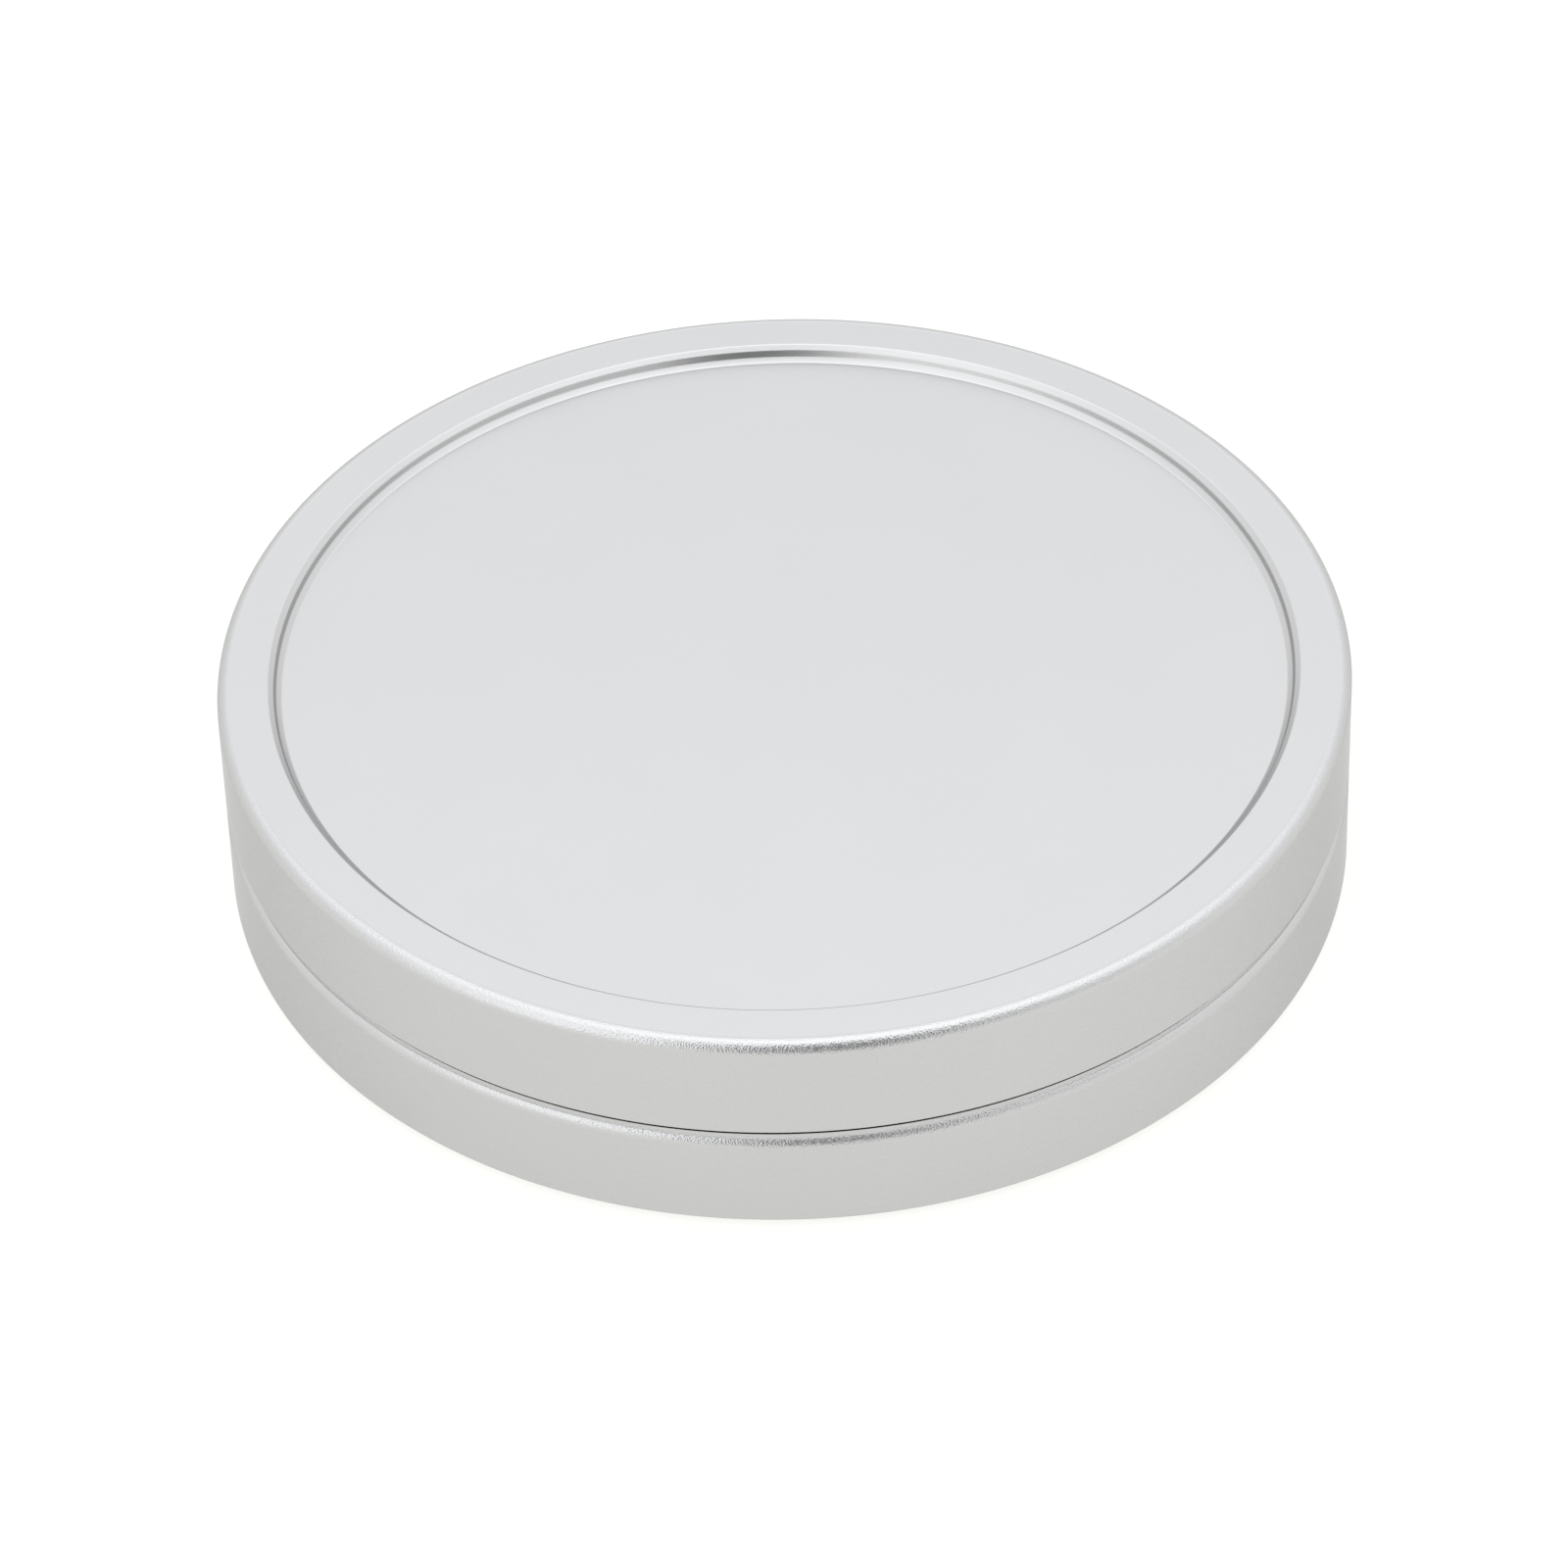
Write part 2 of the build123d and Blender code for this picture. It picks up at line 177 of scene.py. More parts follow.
class Finishes(bpy.types.PropertyGroup):
    """Colours and surface sizes of the finishes."""

    aluminium: colour("Aluminium", "Clear-anodised aluminium", (0.563, 0.565, 0.568))
    blast_grain: length("Blast grain", "Width of a blasting dimple", 0.2 * MM)
    blast_depth: length("Blast depth", "Depth of a blasting dimple", 0.029 * MM)
    flat_face_grain: share("Flat face grain", "Share of the full grain on the flat faces", 0.14)
    rim_face_edge: length("Rim face edge", "Where the flat faces end and the full grain starts", 56.1 * MM)
    blast_roughness: share("Blast roughness", "Softness of the blasted metal's reflections", 0.29)
    cover: colour("Cover", "Turned and anodised cover", (0.56, 0.565, 0.57))
    turning_pitch: length("Turning pitch", "Distance between two turning marks", 0.12 * MM)
    ground_steel: colour("Ground steel", "Bearing rings", (0.50, 0.505, 0.51))
    ball_steel: colour("Ball steel", "Bearing balls", (0.62, 0.625, 0.63))
    sheet_steel: colour("Sheet steel", "Cage, rivets and shields", (0.46, 0.455, 0.445))
    zinc: colour("Zinc", "Plated clamp ring and retainer", (0.58, 0.60, 0.62))
    screw_steel: colour("Screw steel", "Stainless screws", (0.50, 0.495, 0.48))
    rubber: colour("Rubber", "Feet", (0.018, 0.018, 0.019))


class StudioLook(bpy.types.PropertyGroup):
    """Floor, light and camera."""

    floor: colour("Floor", "Pale floor", (0.20, 0.20, 0.198))
    floor_glow: share("Floor glow", "Light that the floor itself gives off", 0.82)
    camera_lens: FloatProperty(name="Lens", description="Focal length on a 36 mm sensor", default=169.06)
    camera_back: length("Camera distance", "How far the camera stands in front", 0.571607)
    camera_up: length("Camera height", "How high the camera stands", 0.504036)
    camera_left: length("Camera offset", "How far the camera stands to the left", 0.000377)
    camera_pitch: FloatProperty(name="Pitch", description="How far the camera looks down",
                                default=radians(40.992), subtype="ANGLE", unit="ROTATION")
    camera_roll: FloatProperty(name="Roll", description="Camera tipped clockwise",
                               default=radians(-1.903), subtype="ANGLE", unit="ROTATION")


PROPERTY_GROUPS = {
    "wheel_discs": DiscSizes,
    "wheel_cover": CoverSizes,
    "wheel_screws": ScrewSizes,
    "wheel_finishes": Finishes,
    "wheel_studio": StudioLook,
}


# ---------------------------------------------------------------- modelling steps


def deselect():
    """Leaves edit mode and deselects every object."""
    if bpy.context.object and bpy.context.object.mode != "OBJECT":
        bpy.ops.object.mode_set(mode="OBJECT")
    bpy.ops.object.select_all(action="DESELECT")


def pick(piece):
    """Makes one object the only selected and active one."""
    deselect()
    piece.hide_set(False)
    piece.select_set(True)
    bpy.context.view_layer.objects.active = piece


def settle(piece, name):
    """Names a new object and moves its place into its mesh."""
    pick(piece)
    piece.name = name
    piece.data.name = name
    bpy.ops.object.transform_apply(location=True, rotation=True, scale=True)
    return piece


def bar(name, radius, bottom, top, facets, x=0.0, y=0.0):
    """An upright round bar between two heights."""
    deselect()
    bpy.ops.mesh.primitive_cylinder_add(vertices=facets, radius=radius, depth=top - bottom,
                                        end_fill_type="NGON", location=(x, y, (bottom + top) / 2))
    return settle(bpy.context.object, name)


def edit(piece, mode="FACE"):
    """Opens a piece for editing with nothing selected."""
    pick(piece)
    bpy.ops.object.mode_set(mode="EDIT")
    bpy.ops.mesh.select_mode(type=mode)
    bpy.ops.mesh.select_all(action="DESELECT")


def select_flat_face(piece, height, radius):
    """Selects the round flat face, centred on the axis, that ends at a radius, at a height."""
    mesh = bmesh.from_edit_mesh(piece.data)
    for face in mesh.faces:
        reach = max(hypot(v.co.x, v.co.y) for v in face.verts)
        if all(abs(v.co.z - height) < CLOSE for v in face.verts) and abs(reach - radius) < CLOSE:
            face.select_set(True)
    bmesh.update_edit_mesh(piece.data)


def select_ring_edges(piece, height, radius):
    """Adds to the selection the edges of the circle about the axis at a height and radius."""
    mesh = bmesh.from_edit_mesh(piece.data)
    for edge in mesh.edges:
        level = all(abs(v.co.z - height) < CLOSE for v in edge.verts)
        if level and all(abs(hypot(v.co.x, v.co.y) - radius) < CLOSE for v in edge.verts):
            edge.select_set(True)
    bmesh.update_edit_mesh(piece.data)


def turn_steps(piece, height, radius, steps):
    """Turns steps in a flat round face: each (new radius, new height) insets it and moves it."""
    edit(piece)
    select_flat_face(piece, height, radius)
    for new_radius, new_height in steps:
        bpy.ops.mesh.inset(thickness=radius - new_radius, depth=0.0)
        if abs(new_height - height) > CLOSE:
            bpy.ops.mesh.extrude_region_move(TRANSFORM_OT_translate={"value": (0, 0, new_height - height)})
        radius, height = new_radius, new_height
    bpy.ops.object.mode_set(mode="OBJECT")


def turn_slopes(piece, height, radius, ends):
    """Draws a flat round face along slopes: each (new radius, new height) is where one slope ends."""
    edit(piece)
    select_flat_face(piece, height, radius)
    for new_radius, new_height in ends:
        bpy.ops.mesh.extrude_region_move(TRANSFORM_OT_translate={"value": (0, 0, new_height - height)})
        scale = new_radius / radius
        bpy.ops.transform.resize(value=(scale, scale, 1), center_override=(0, 0, new_height))
        radius, height = new_radius, new_height
    bpy.ops.object.mode_set(mode="OBJECT")


def drill_point(piece, height, radius):
    """Draws the flat end of a blind hole up to a drill's point."""
    edit(piece)
    select_flat_face(piece, height, radius)
    bpy.ops.mesh.extrude_region_move(TRANSFORM_OT_translate={"value": (0, 0, radius / tan(DRILL_ANGLE))})
    bpy.ops.mesh.merge(type="CENTER")
    bpy.ops.object.mode_set(mode="OBJECT")


def round_edges(piece, circles, width, segments):
    """Rounds the round edges given as (height, radius); one segment makes a chamfer."""
    edit(piece, "EDGE")
    for height, radius in circles:
        select_ring_edges(piece, height, radius)
    bpy.ops.mesh.bevel(offset=width, offset_type="OFFSET", segments=segments, profile=0.5, affect="EDGES")
    bpy.ops.object.mode_set(mode="OBJECT")


def bridge_faces(piece, ends):
    """Joins two round faces, given as (height, radius), by a wall, so that a hole goes through."""
    edit(piece)
    for height, radius in ends:
        select_flat_face(piece, height, radius)
    bpy.ops.mesh.bridge_edge_loops()
    bpy.ops.object.mode_set(mode="OBJECT")


def combine(piece, tool, operation):
    """Joins a tool to a piece or cuts it away, and deletes the tool."""
    pick(piece)
    modifier = piece.modifiers.new("Combine", "BOOLEAN")
    modifier.operation = operation
    modifier.solver = "EXACT"
    modifier.object = tool
    bpy.ops.object.modifier_apply(modifier=modifier.name)
    bpy.data.objects.remove(tool)


def around(make, circle, count, start):
    """Calls make(x, y) for each place on a circle about the axis."""
    turns = [start + 2 * pi * number / count for number in range(count)]
    return [make(circle * cos(turn), circle * sin(turn)) for turn in turns]


def clean(piece):
    """Merges doubled points and turns every face outwards."""
    edit(piece)
    bpy.ops.mesh.select_all(action="SELECT")
    bpy.ops.mesh.remove_doubles(threshold=DOUBLED)
    bpy.ops.mesh.normals_make_consistent(inside=False)
    bpy.ops.object.mode_set(mode="OBJECT")


def smooth(piece):
    """Smooth shading that keeps the flat faces flat and the real corners sharp."""
    pick(piece)
    bpy.ops.object.shade_smooth_by_angle(angle=SHARP)
    modifier = piece.modifiers.new("Flat faces", "WEIGHTED_NORMAL")
    modifier.mode = "FACE_AREA"
    modifier.weight = 100
    modifier.keep_sharp = True
    bpy.ops.object.modifier_apply(modifier=modifier.name)


def finish_piece(piece, body, nodes, material):
    """Gives a finished piece its body and its material, and hides the CAD nodes that it stands for."""
    piece.data.materials.clear()
    piece.data.materials.append(material)
    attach(piece, body)
    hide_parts(*nodes)
    return piece


def copy_of(piece, name, turn):
    """A copy with its own mesh, turned about the spindle's axis."""
    twin = piece.copy()
    twin.data = piece.data.copy()
    bpy.context.scene.collection.objects.link(twin)
    twin.data.transform(Matrix.Rotation(turn, 4, "Z"))
    twin.name = name
    twin.data.name = name
    return twin


# ---------------------------------------------------------------- materials


class Surface:
    """A material under construction, with short ways to add and join its nodes."""

    def __init__(self, name):
        self.material = bpy.data.materials.new(name)
        self.material.use_nodes = True
        self.tree = self.material.node_tree
        self.shader = self.tree.nodes["Principled BSDF"]
        self.place = self.add("ShaderNodeTexCoord").outputs["Object"]

    def add(self, kind, links=(), **settings):
        """Adds a node, sets its options and inputs by name, and joins (input, socket) pairs."""
        node = self.tree.nodes.new(kind)
        for key, value in settings.items():
            if hasattr(node, key):
                setattr(node, key, value)
            else:
                node.inputs[key].default_value = value
        for key, socket in links:
            self.tree.links.new(socket, node.inputs[key])
        return node

    def noise(self, width, detail=2.0, roughness=0.5):
        """Soft noise with features of one width."""
        return self.add("ShaderNodeTexNoise", [("Vector", self.place)], Scale=1 / width, Detail=detail,
                        Roughness=roughness).outputs["Fac"]

    def cells(self, width):
        """Rounded cells of one width, such as blasting dimples."""
        pattern = self.add("ShaderNodeTexVoronoi", [("Vector", self.place)], Scale=1 / width)
        return pattern.outputs["Distance"]

    def spread(self, value, low, high, start=0.0, end=1.0):
        """Maps a 0 to 1 pattern, or its middle stretch, onto a range."""
        node = self.add("ShaderNodeMapRange", [("Value", value)])
        for key, number in (("From Min", start), ("From Max", end), ("To Min", low), ("To Max", high)):
            node.inputs[key].default_value = number
        return node.outputs["Result"]

    def math(self, operation, first, second=0.0):
        """Arithmetic on one pattern, on two, or on a pattern and a number."""
        node = self.add("ShaderNodeMath", operation=operation)
        for index, value in enumerate((first, second)):
            if isinstance(value, (int, float)):
                node.inputs[index].default_value = value
            else:
                self.tree.links.new(value, node.inputs[index])
        return node.outputs["Value"]

    def blend(self, factor, first, second):
        """A colour between two colours."""
        node = self.add("ShaderNodeMix", data_type="RGBA")
        self.tree.links.new(factor, node.inputs["Factor"])
        node.inputs[6].default_value = (*first, 1)
        node.inputs[7].default_value = (*second, 1)
        return node.outputs[2]

    def bump(self, height, depth, below=None):
        """Relief of one depth, laid over the relief below it."""
        links = [("Height", height)]
        if below:
            links.append(("Normal", below))
        return self.add("ShaderNodeBump", links, Strength=1.0, Distance=depth).outputs["Normal"]

    def radius(self):
        """Distance from the spindle's axis."""
        axes = self.add("ShaderNodeSeparateXYZ", [("Vector", self.place)])
        squares = [self.math("MULTIPLY", axes.outputs[axis], axes.outputs[axis]) for axis in ("X", "Y")]
        return self.math("SQRT", self.math("ADD", *squares))

    def set(self, **inputs):
        """Sets or joins the shader's own inputs; underscores stand for spaces."""
        for key, value in inputs.items():
            socket = self.shader.inputs[key.replace("_", " ")]
            if isinstance(value, bpy.types.NodeSocket):
                self.tree.links.new(value, socket)
            else:
                socket.default_value = value
        return self.material


def tint(base, gain):
    """A colour made lighter or darker."""
    return tuple(min(1.0, part * gain) for part in base)


def blasted_aluminium(looks):
    """Bead-blasted and clear-anodised aluminium: shallow dimples, fine sparkle and faint clouding."""
    surface = Surface("blasted_aluminium")
    grain = looks.blast_grain
    clouds = surface.noise(14 * MM, detail=2.0, roughness=0.5)
    speckle = surface.noise(grain * 0.7, detail=1.0)
    shade = surface.math("ADD", surface.math("MULTIPLY", clouds, 0.35),
                         surface.math("MULTIPLY", speckle, 0.65))
    shade = surface.spread(shade, 0.0, 1.0, *MIDDLE)
    base = looks.aluminium
    edge_grain = surface.spread(surface.radius(), looks.flat_face_grain, 1.0,
                                looks.rim_face_edge, looks.rim_face_edge + 0.5 * MM)
    dimples = surface.math("ADD", surface.cells(grain), surface.noise(grain * 0.8, detail=1.0))
    relief = surface.bump(surface.math("MULTIPLY", dimples, edge_grain), looks.blast_depth)
    rough = looks.blast_roughness
    return surface.set(
        Base_Color=surface.blend(shade, tint(base, 0.985), tint(base, 1.015)),
        Metallic=1.0,
        Specular_Tint=(0.75, 0.75, 0.75, 1.0),
        Roughness=surface.spread(clouds, rough - 0.01, rough + 0.01, *MIDDLE),
        Normal=relief,
    )


def turned_aluminium(looks):
    """Fine facing-cut aluminium: rings of turning marks about the axis under clear anodising."""
    surface = Surface("turned_aluminium")
    wander = surface.math("MULTIPLY", surface.noise(14 * MM, detail=1.0), looks.turning_pitch)
    turns = surface.math("DIVIDE", surface.math("ADD", surface.radius(), wander), looks.turning_pitch)
    groove = surface.math("SINE", surface.math("MULTIPLY", turns, 2 * pi))
    grain = surface.noise(0.4 * MM, detail=3.0)
    relief = surface.bump(surface.spread(groove, 0.0, 1.0, -1.0, 1.0), 0.0016 * MM)
    relief = surface.bump(grain, 0.0012 * MM, relief)
    base = looks.cover
    return surface.set(
        Base_Color=surface.blend(surface.noise(11 * MM, detail=4.0), tint(base, 0.95), tint(base, 1.04)),
        Metallic=1.0,
        Roughness=surface.spread(grain, 0.24, 0.34, *MIDDLE),
        Normal=relief,
    )


def ground_steel(looks):
    """Ground bearing steel with faint marks of the wheel along each ring."""
    surface = Surface("ground_steel")
    axes = surface.add("ShaderNodeSeparateXYZ", [("Vector", surface.place)])
    lines = surface.math("ADD", surface.radius(), axes.outputs["Z"])
    streak = surface.add("ShaderNodeTexNoise", [("W", lines)], noise_dimensions="1D", Scale=1 / (0.05 * MM),
                         Detail=2.0).outputs["Fac"]
    base = looks.ground_steel
    return surface.set(
        Base_Color=surface.blend(surface.noise(3 * MM, detail=3.0), tint(base, 0.94), tint(base, 1.05)),
        Metallic=1.0,
        Roughness=surface.spread(streak, 0.16, 0.30, *MIDDLE),
        Normal=surface.bump(streak, 0.0009 * MM),
    )


def ball_steel(looks):
    """Lapped bearing balls with a thin film of grease and hairline scratches."""
    surface = Surface("ball_steel")
    film = surface.noise(0.9 * MM, detail=3.0)
    base = looks.ball_steel
    return surface.set(
        Base_Color=surface.blend(film, tint(base, 0.96), tint(base, 1.03)),
        Metallic=1.0,
        Roughness=surface.spread(film, 0.05, 0.13, 0.35, 0.65),
        Normal=surface.bump(surface.noise(0.12 * MM, detail=2.0), 0.0002 * MM),
    )


def sheet_steel(looks):
    """Cold-rolled sheet steel with rolling grain and soft stains."""
    surface = Surface("sheet_steel")
    rolled = surface.noise(0.25 * MM, detail=4.0, roughness=0.7)
    stains = surface.noise(4 * MM, detail=3.0)
    base = looks.sheet_steel
    return surface.set(
        Base_Color=surface.blend(stains, tint(base, 0.90), tint(base, 1.07)),
        Metallic=1.0,
        Roughness=surface.spread(stains, 0.28, 0.42, *MIDDLE),
        Normal=surface.bump(rolled, 0.0018 * MM),
    )


def zinc_steel(looks):
    """Bright zinc plating over turned steel, with its faint bluish and yellow clouding."""
    surface = Surface("zinc_steel")
    turns = surface.math("MULTIPLY", surface.radius(), 2 * pi / (0.16 * MM))
    groove = surface.math("SINE", turns)
    relief = surface.bump(surface.spread(groove, 0.0, 1.0, -1.0, 1.0), 0.0014 * MM)
    clouds = surface.noise(5 * MM, detail=3.0)
    base = looks.zinc
    warm = (base[0] * 1.04, base[1] * 1.01, base[2] * 0.93)
    return surface.set(
        Base_Color=surface.blend(clouds, base, warm),
        Metallic=1.0,
        Roughness=surface.spread(clouds, 0.22, 0.34, *MIDDLE),
        Normal=surface.bump(surface.noise(0.3 * MM, detail=3.0), 0.001 * MM, relief),
    )


def screw_steel(looks):
    """Stainless screw steel, cold-headed and slightly dull."""
    surface = Surface("screw_steel")
    dull = surface.noise(0.5 * MM, detail=4.0, roughness=0.6)
    base = looks.screw_steel
    return surface.set(
        Base_Color=surface.blend(dull, tint(base, 0.92), tint(base, 1.06)),
        Metallic=1.0,
        Roughness=surface.spread(dull, 0.24, 0.38, *MIDDLE),
        Normal=surface.bump(surface.noise(0.09 * MM, detail=2.0), 0.0012 * MM),
    )


def moulded_rubber(looks):
    """Black moulded rubber, matt, with bloom and picked-up dust."""
    surface = Surface("moulded_rubber")
    skin = surface.noise(0.18 * MM, detail=4.0, roughness=0.7)
    dust = surface.noise(1.6 * MM, detail=5.0, roughness=0.7)
    base = looks.rubber
    return surface.set(
        Base_Color=surface.blend(surface.spread(dust, 0.0, 1.0, 0.45, 0.75), base, tint(base, 2.2)),
        Roughness=surface.spread(dust, 0.62, 0.82, 0.35, 0.65),
        Specular_IOR_Level=0.35,
        Normal=surface.bump(skin, 0.012 * MM),
    )


def keep_cad_shape(node, material):
    """Shows a CAD node as it is, with a finished material."""
    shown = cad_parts[node]
    shown.data.materials.clear()
    shown.data.materials.append(material)


# ---------------------------------------------------------------- one operator for each piece


class MakeHead(bpy.types.Operator):
    """Turn the wheel head: rim, work recess, pocket, shoulder and spindle"""

    bl_idname = "wheel.make_head"
    bl_label = "Wheel Head"

    def execute(self, context):
        scene = context.scene
        size, screws = scene.wheel_discs, scene.wheel_screws
        top = top_of("head_disc")
        bottom = top - size.head_height
        floor = top - size.recess_depth
        ceiling = floor - size.web
        bearing_top = top_of("bearing_inner_ring")
        spindle_end = bottom_of("head_disc")
        thread_top = top_of("spindle_screw") + screws.over_drill
        head = bar("wheel_head", size.radius, bottom, top, size.facets)
        chamfer_width, chamfer_height = size.recess_chamfer_width, size.recess_chamfer_height
        recess_wall = [
            (size.recess_rim_radius - chamfer_width, top - chamfer_height),
            (size.recess_floor_radius + chamfer_width, floor + chamfer_height),
            (size.recess_floor_radius, floor),
        ]
        turn_steps(head, top, size.radius, [(size.recess_rim_radius, top)])
        turn_slopes(head, top, size.recess_rim_radius, recess_wall)
        turn_steps(head, bottom, size.radius, [
            (size.head_pocket_radius, ceiling),
            (size.shoulder_radius, bearing_top),
            (size.spindle_radius, spindle_end),
            (screws.large_hole, thread_top),
        ])
        drill_point(head, thread_top, screws.large_hole)
        recess_edges = [(top, size.recess_rim_radius)] + [(height, radius) for radius, height in recess_wall]
        round_edges(head, [(top, size.radius)], size.edge_fillet, segments=18)
        round_edges(head, recess_edges, size.recess_softening, segments=5)
        round_edges(head, [(ceiling, size.head_pocket_radius)], size.pocket_fillet, segments=6)
        round_edges(head, [(bottom, size.radius)], size.head_edge_break, segments=3)
        round_edges(head, [(spindle_end, size.spindle_radius)], size.small_chamfer, segments=1)
        clean(head)
        smooth(head)
        material = blasted_aluminium(scene.wheel_finishes)
        finish_piece(head, "head", ["head_disc"], material)
        return {"FINISHED"}


class MakeBase(bpy.types.Operator):
    """Turn the base: web, wall, dust lip and bearing housing, then add its bosses and holes"""

    bl_idname = "wheel.make_base"
    bl_label = "Base"

    def execute(self, context):
        scene = context.scene
        size, cover, screws = scene.wheel_discs, scene.wheel_cover, scene.wheel_screws
        bottom = bottom_of("base_disc")
        top = bottom + size.base_height
        ceiling = top - size.web
        lip_top = top + size.dust_lip_height
        lip_inside = size.dust_lip_radius - size.dust_lip_thickness
        bearing_bottom = bottom_of("bearing_outer_ring")
        bearing_top = top_of("bearing_outer_ring")
        hub_top = bearing_top + size.lip_height
        cover_top = top_of("bottom_cover")
        curve_start = top - size.edge_fillet
        curve_middle = size.radius - size.edge_fillet
        curve_end = asin((size.land_radius - curve_middle) / size.edge_fillet)
        bend = (pi / 2 - curve_end) / SHOULDER_STEPS
        turns = [pi / 2 - bend * number for number in range(1, SHOULDER_STEPS + 1)]
        fillet = size.edge_fillet
        shoulder = [(curve_middle + fillet * sin(turn), curve_start + fillet * cos(turn)) for turn in turns]
        land_top = top + size.land_height
        base = bar("wheel_base", size.radius, bottom, curve_start, size.facets)
        turn_slopes(base, curve_start, size.radius, [*shoulder, (size.land_radius, land_top)])
        turn_steps(base, land_top, size.land_radius, [
            (size.dust_lip_radius, lip_top),
            (lip_inside, top),
            (size.hub_radius, hub_top),
            (size.lip_radius, hub_top),
        ])
        turn_steps(base, bottom, size.radius, [
            (cover.rebate_radius, cover_top),
            (size.base_pocket_radius, ceiling),
            (size.hub_radius, bearing_bottom),
            (size.housing_radius, bearing_top),
            (size.lip_radius, bearing_top),
        ])
        bridge_faces(base, [(hub_top, size.lip_radius), (bearing_top, size.lip_radius)])
        inside_corners = [(ceiling, size.base_pocket_radius), (top, size.hub_radius)]
        housing_edges = [(bearing_bottom, size.housing_radius), (hub_top, size.hub_radius)]
        round_edges(base, inside_corners, size.pocket_fillet, segments=6)
        round_edges(base, [(bottom, size.radius)], size.base_edge_break, segments=4)
        round_edges(base, [(lip_top, size.dust_lip_radius)], size.dust_lip_edge, segments=1)
        round_edges(base, housing_edges, size.small_chamfer, segments=1)
        clean(base)
        boss, boss_top = cover.boss_radius, ceiling + size.pocket_fillet
        for tool in around(lambda x, y: bar("boss", boss, cover_top, boss_top, HOLE_FACETS, x, y),
                           cover.screw_circle, cover.count, 0.0):
            combine(base, tool, "UNION")
        cover_thread = top_of("cover_screws") + screws.over_drill
        clamp_thread = top_of("clamp_ring_screws") + screws.over_drill
        for circle, start, mouth, end in (
            (cover.screw_circle, 0.0, cover_top, cover_thread),
            (cover.clamp_circle, pi / cover.count, bearing_bottom, clamp_thread),
        ):
            for tool in around(lambda x, y: drill("drill", screws.small_hole, mouth, end, x, y),
                               circle, cover.count, start):
                combine(base, tool, "DIFFERENCE")
        smooth(base)
        material = bpy.data.materials["blasted_aluminium"]
        finish_piece(base, "base", ["base_disc"], material)
        return {"FINISHED"}


def drill(name, radius, mouth, end, x, y):
    """The space a drill leaves: a bar from just below a hole's mouth, with a pointed end."""
    tool = bar(name, radius, mouth - OVERSHOOT, end, HOLE_FACETS)
    drill_point(tool, end, radius)
    tool.data.transform(Matrix.Translation((x, y, 0)))
    return tool


def countersink(name, mouth_radius, hole_radius, mouth, end, x, y):
    """The space of a countersunk hole that opens downwards."""
    tool = bar(name, mouth_radius, mouth - OVERSHOOT, mouth, HOLE_FACETS)
    cone_end = mouth + mouth_radius - hole_radius
    turn_slopes(tool, mouth, mouth_radius, [(hole_radius, cone_end), (hole_radius, end + OVERSHOOT)])
    tool.data.transform(Matrix.Translation((x, y, 0)))
    return tool


class MakeCover(bpy.types.Operator):
    """Cut the bottom cover, with its countersunk holes and the seats of the feet"""

    bl_idname = "wheel.make_cover"
    bl_label = "Bottom Cover"

    def execute(self, context):
        scene = context.scene
        size, screws = scene.wheel_cover, scene.wheel_screws
        bottom, top = bottom_of("bottom_cover"), top_of("bottom_cover")
        radius = radius_of("bottom_cover")
        cover = bar("wheel_cover", radius, bottom, top, scene.wheel_discs.facets)
        round_edges(cover, [(bottom, radius)], size.edge, segments=3)
        mouth, hole = screws.small_head + size.fit_gap, screws.small_clearance
        for tool in around(lambda x, y: countersink("countersink", mouth, hole, bottom, top, x, y),
                           size.screw_circle, size.count, 0.0):
            combine(cover, tool, "DIFFERENCE")
        seat = size.foot_radius + size.fit_gap
        below, above = bottom - size.foot_sunk, bottom + size.foot_sunk
        for tool in around(lambda x, y: bar("seat", seat, below, above, FOOT_FACETS, x, y),
                           size.foot_circle, size.count, pi / size.count):
            combine(cover, tool, "DIFFERENCE")
        smooth(cover)
        material = turned_aluminium(scene.wheel_finishes)
        finish_piece(cover, "base", ["bottom_cover"], material)
        return {"FINISHED"}


class MakeFeet(bpy.types.Operator):
    """Mould one rubber foot and copy it round the cover"""

    bl_idname = "wheel.make_feet"
    bl_label = "Rubber Feet"

    def execute(self, context):
        scene = context.scene
        size = scene.wheel_cover
        bottom, top = bottom_of("foot_1"), top_of("foot_1")
        first = bar("rubber_foot", size.foot_radius, bottom, top, FOOT_FACETS)
        dimple_top = bottom + size.dimple_depth
        dimple_edges = [(bottom, size.dimple_radius), (dimple_top, size.dimple_radius)]
        turn_steps(first, bottom, size.foot_radius, [(size.dimple_radius, dimple_top)])
        round_edges(first, [(bottom, size.foot_radius)], size.foot_edge, segments=8)
        round_edges(first, dimple_edges, size.dimple_edge, segments=4)
        clean(first)
        smooth(first)
        material = moulded_rubber(scene.wheel_finishes)
        for number in range(size.count):
            node = f"foot_{number + 1}"
            low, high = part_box(node)
            middle = (low + high) / 2
            foot = copy_of(first, f"rubber_foot_{number + 1}", atan2(middle.y, middle.x))
            foot.data.transform(Matrix.Translation((middle.x, middle.y, 0)))
            finish_piece(foot, "base", [node], material)
        bpy.data.objects.remove(first)
        return {"FINISHED"}


